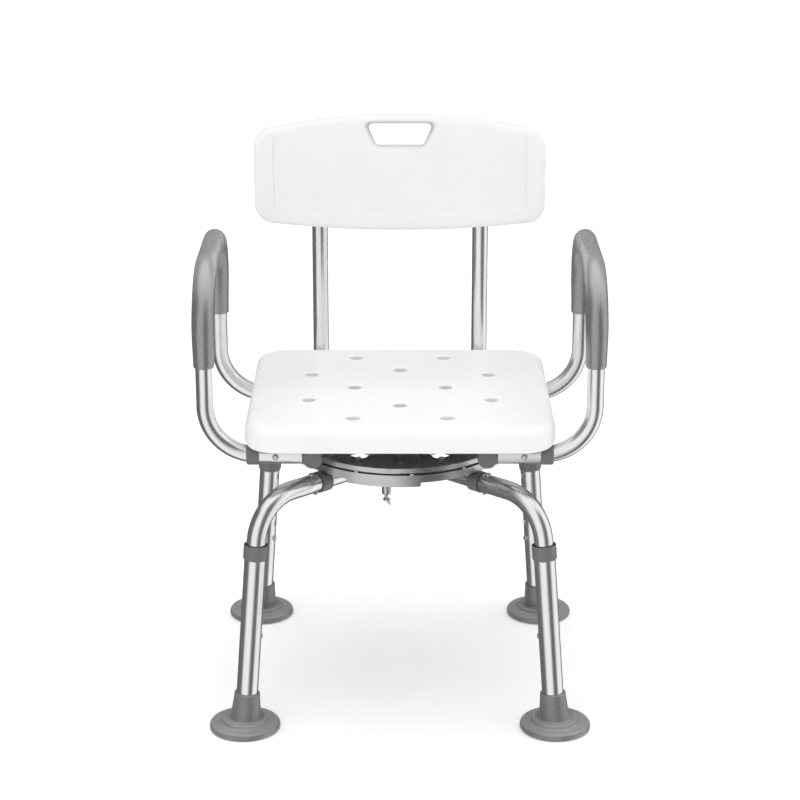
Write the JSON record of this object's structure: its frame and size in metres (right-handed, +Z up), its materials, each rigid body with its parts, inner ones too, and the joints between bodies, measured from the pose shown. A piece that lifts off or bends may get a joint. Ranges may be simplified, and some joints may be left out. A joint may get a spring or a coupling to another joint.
{
  "type": "swivel shower chair",
  "caption": "Bath and shower chair with a moulded seat and back, tube arms, and a turning ring on a crossed tube frame with height-adjustable rubber-footed legs.",
  "frame": {"origin": "on the floor, under the swivel axis and midway between the feet", "axes": "+Z up; the seat faces -Y; +X is the sitter's left"},
  "size_m": [0.538, 0.4768, 0.7544],
  "materials": {
    "tube_aluminium": "polished, anodised tube with fine draw lines",
    "ring_metal": "brushed along the ring",
    "dark_paint": "dark grey satin paint",
    "steel": "zinc plated",
    "spring_steel": "bright spring steel",
    "grey_plastic": "moulded, fine texture",
    "grip": "smooth satin vinyl sleeve",
    "white_plastic": "moulded, fine orange-peel texture",
    "foot_rubber": "moulded grey rubber",
    "nylon": "natural nylon"
  },
  "bodies": {
    "base": {"hub_block": "tube_aluminium", "cross_tubes": "tube_aluminium", "frame_bushings": "grey_plastic", "bent_legs": "tube_aluminium", "frame_fasteners": "steel", "lower_ring": "ring_metal", "glide_pads": "nylon", "bearing_balls": "steel", "ball_cage": "nylon", "lock_bracket": "ring_metal", "lock_barrel": "steel", "lock_spring": "steel"},
    "leg_front_right": {"leg_tube_front_right": "tube_aluminium", "leg_collar_front_right": "grey_plastic", "foot_front_right": "foot_rubber"},
    "leg_snap_front_right": {"leg_button_front_right": "spring_steel"},
    "frame_snap_front_right": {"frame_button_front_right": "spring_steel"},
    "leg_front_left": {"leg_tube_front_left": "tube_aluminium", "leg_collar_front_left": "grey_plastic", "foot_front_left": "foot_rubber"},
    "leg_snap_front_left": {"leg_button_front_left": "spring_steel"},
    "frame_snap_front_left": {"frame_button_front_left": "spring_steel"},
    "leg_rear_right": {"leg_tube_rear_right": "tube_aluminium", "leg_collar_rear_right": "grey_plastic", "foot_rear_right": "foot_rubber"},
    "leg_snap_rear_right": {"leg_button_rear_right": "spring_steel"},
    "frame_snap_rear_right": {"frame_button_rear_right": "spring_steel"},
    "leg_rear_left": {"leg_tube_rear_left": "tube_aluminium", "leg_collar_rear_left": "grey_plastic", "foot_rear_left": "foot_rubber"},
    "leg_snap_rear_left": {"leg_button_rear_left": "spring_steel"},
    "frame_snap_rear_left": {"frame_button_rear_left": "spring_steel"},
    "lock": {"lock_pin": "steel", "lock_pull": "steel"},
    "seat": {"upper_ring": "ring_metal", "keeper_ring": "ring_metal", "turning_plate": "dark_paint", "plate_fasteners": "steel", "side_rails": "tube_aluminium", "rail_fittings": "grey_plastic", "arm_stubs": "tube_aluminium", "arm_collars": "grey_plastic", "rail_saddles": "grey_plastic", "frame_screws": "steel", "arm_tube_left": "tube_aluminium", "arm_tube_right": "tube_aluminium", "arm_grip_left": "grip", "arm_grip_right": "grip", "seat_panel": "white_plastic", "back_post_left": "tube_aluminium", "back_post_right": "tube_aluminium", "back_panel": "white_plastic"},
    "lever": {"release_lever": "dark_paint", "lever_grip": "grey_plastic"},
    "arm_snap_front_left": {"arm_button_front_left": "spring_steel"},
    "arm_snap_rear_left": {"arm_button_rear_left": "spring_steel"},
    "back_snap_left": {"back_button_left": "spring_steel"},
    "arm_snap_front_right": {"arm_button_front_right": "spring_steel"},
    "arm_snap_rear_right": {"arm_button_rear_right": "spring_steel"},
    "back_snap_right": {"back_button_right": "spring_steel"}
  },
  "joints": [
    {"name": "leg_height_front_right", "type": "slide", "parent": "base", "child": "leg_front_right", "axis": [-0.0723, -0.0669, -0.9951], "range_m": [0, 0.1], "deforming": ["leg_button_front_right"]},
    {"name": "leg_button_press_front_right", "type": "slide", "parent": "base", "child": "leg_snap_front_right", "axis": [-0.8631, -0.4959, 0.0961], "range_m": [0, 0.0045], "stiffness_N_per_m": 600, "springref_m": -0.003},
    {"name": "frame_button_press_front_right", "type": "slide", "parent": "base", "child": "frame_snap_front_right", "axis": [0, 0, -1], "range_m": [0, 0.0045], "stiffness_N_per_m": 600, "springref_m": -0.003},
    {"name": "leg_height_front_left", "type": "slide", "parent": "base", "child": "leg_front_left", "axis": [0.0723, -0.0669, -0.9951], "range_m": [0, 0.1], "deforming": ["leg_button_front_left"]},
    {"name": "leg_button_press_front_left", "type": "slide", "parent": "base", "child": "leg_snap_front_left", "axis": [0.8631, -0.4959, 0.0961], "range_m": [0, 0.0045], "stiffness_N_per_m": 600, "springref_m": -0.003},
    {"name": "frame_button_press_front_left", "type": "slide", "parent": "base", "child": "frame_snap_front_left", "axis": [0, 0, -1], "range_m": [0, 0.0045], "stiffness_N_per_m": 600, "springref_m": -0.003},
    {"name": "leg_height_rear_right", "type": "slide", "parent": "base", "child": "leg_rear_right", "axis": [-0.0723, 0.0669, -0.9951], "range_m": [0, 0.1], "deforming": ["leg_button_rear_right"]},
    {"name": "leg_button_press_rear_right", "type": "slide", "parent": "base", "child": "leg_snap_rear_right", "axis": [-0.8631, 0.4959, 0.0961], "range_m": [0, 0.0045], "stiffness_N_per_m": 600, "springref_m": -0.003},
    {"name": "frame_button_press_rear_right", "type": "slide", "parent": "base", "child": "frame_snap_rear_right", "axis": [0, 0, -1], "range_m": [0, 0.0045], "stiffness_N_per_m": 600, "springref_m": -0.003},
    {"name": "leg_height_rear_left", "type": "slide", "parent": "base", "child": "leg_rear_left", "axis": [0.0723, 0.0669, -0.9951], "range_m": [0, 0.1], "deforming": ["leg_button_rear_left"]},
    {"name": "leg_button_press_rear_left", "type": "slide", "parent": "base", "child": "leg_snap_rear_left", "axis": [0.8631, 0.4959, 0.0961], "range_m": [0, 0.0045], "stiffness_N_per_m": 600, "springref_m": -0.003},
    {"name": "frame_button_press_rear_left", "type": "slide", "parent": "base", "child": "frame_snap_rear_left", "axis": [0, 0, -1], "range_m": [0, 0.0045], "stiffness_N_per_m": 600, "springref_m": -0.003},
    {"name": "lock_pin_lift", "type": "slide", "parent": "base", "child": "lock", "axis": [0, 0, 1], "range_m": [0, 0.006]},
    {"name": "seat_swivel", "type": "hinge", "parent": "base", "child": "seat", "pos_m": [0, 0, 0.3365], "axis": [0, 0, 1], "continuous": true},
    {"name": "release_lever_swing", "type": "hinge", "parent": "seat", "child": "lever", "pos_m": [0, -0.095, 0.3527], "axis": [0, 0, -1], "range_deg": [0, 10], "stiffness_Nm_per_rad": 0.8, "springref_deg": -2.86},
    {"name": "arm_button_press_front_left", "type": "slide", "parent": "seat", "child": "arm_snap_front_left", "axis": [0, 1, 0], "range_m": [0, 0.0045], "stiffness_N_per_m": 600, "springref_m": -0.003},
    {"name": "arm_button_press_rear_left", "type": "slide", "parent": "seat", "child": "arm_snap_rear_left", "axis": [0, -1, 0], "range_m": [0, 0.0045], "stiffness_N_per_m": 600, "springref_m": -0.003},
    {"name": "back_button_press_left", "type": "slide", "parent": "seat", "child": "back_snap_left", "axis": [-1, 0, 0], "range_m": [0, 0.0045], "stiffness_N_per_m": 600, "springref_m": -0.003},
    {"name": "arm_button_press_front_right", "type": "slide", "parent": "seat", "child": "arm_snap_front_right", "axis": [0, 1, 0], "range_m": [0, 0.0045], "stiffness_N_per_m": 600, "springref_m": -0.003},
    {"name": "arm_button_press_rear_right", "type": "slide", "parent": "seat", "child": "arm_snap_rear_right", "axis": [0, -1, 0], "range_m": [0, 0.0045], "stiffness_N_per_m": 600, "springref_m": -0.003},
    {"name": "back_button_press_right", "type": "slide", "parent": "seat", "child": "back_snap_right", "axis": [1, 0, 0], "range_m": [0, 0.0045], "stiffness_N_per_m": 600, "springref_m": -0.003}
  ]
}
